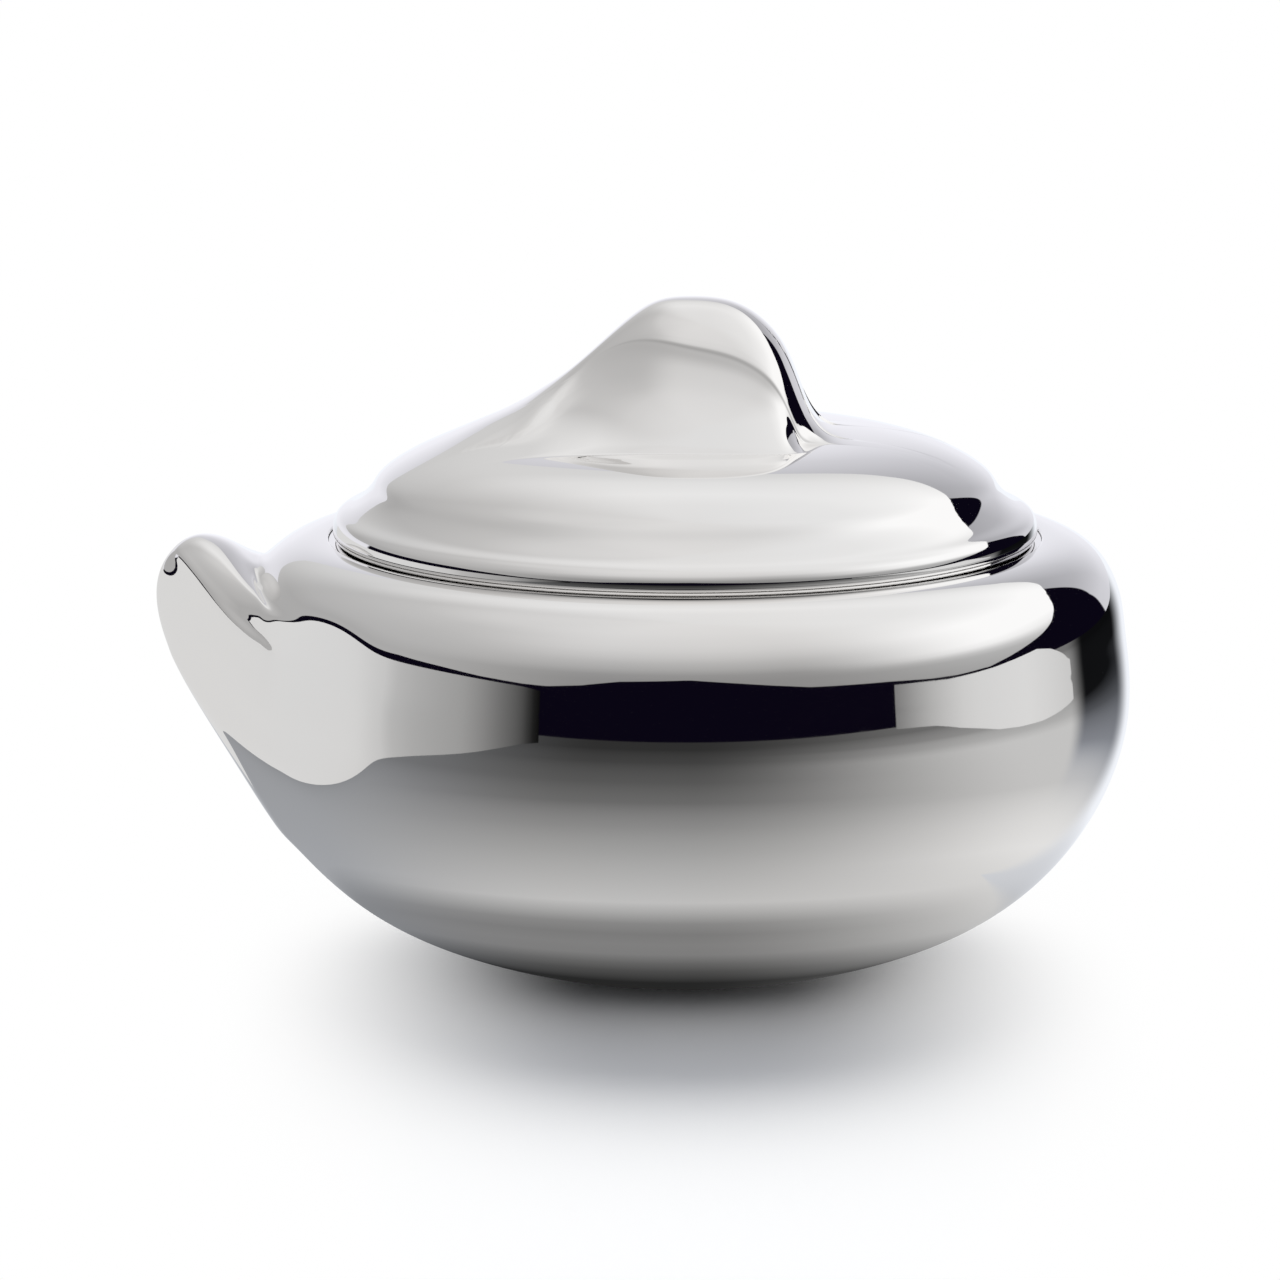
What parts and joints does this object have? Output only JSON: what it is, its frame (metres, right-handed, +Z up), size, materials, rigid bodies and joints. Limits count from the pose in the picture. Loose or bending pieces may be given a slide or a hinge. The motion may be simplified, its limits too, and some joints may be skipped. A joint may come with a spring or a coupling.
{
  "type": "covered serving pot",
  "caption": "Low round covered serving pot in mirror-polished silver, with a pinched wing on one side and a domed lift-off lid with a pinched finger grip.",
  "frame": {"origin": "centre of the flat base, on the surface the pot stands on", "axes": "+Z up along the axis of the pot, -X towards the wing, +Y away from the camera of the picture"},
  "size_m": [0.2405, 0.2198, 0.1662],
  "materials": {
    "polished_silver": "mirror-polished silver",
    "satin_silver": "fine satin silver",
    "silicone": "matt dark brown silicone"
  },
  "bodies": {
    "pot": {"bowl_skin": "polished_silver", "shoulder_skin": "polished_silver", "wing_front": "polished_silver", "wing_rear": "polished_silver", "base_plate": "satin_silver", "vent_plug": "satin_silver", "liner_floor": "satin_silver", "liner_wall": "satin_silver", "liner_neck": "satin_silver", "rim_collar": "polished_silver"},
    "seat": {"seat_ring": "silicone"},
    "lid": {"lid_rim": "polished_silver", "lid_shoulder": "polished_silver", "lid_top_front": "polished_silver", "lid_top_rear": "polished_silver", "lid_pan": "satin_silver", "lid_flange": "satin_silver"}
  },
  "joints": [
    {"name": "lid_turn", "type": "hinge", "parent": "pot", "child": "seat", "pos_m": [0, 0, 0.105], "axis": [0, 0, 1], "continuous": true},
    {"name": "lid_lift", "type": "slide", "parent": "seat", "child": "lid", "axis": [0, 0, 1], "range_m": [0, 0.12]}
  ]
}
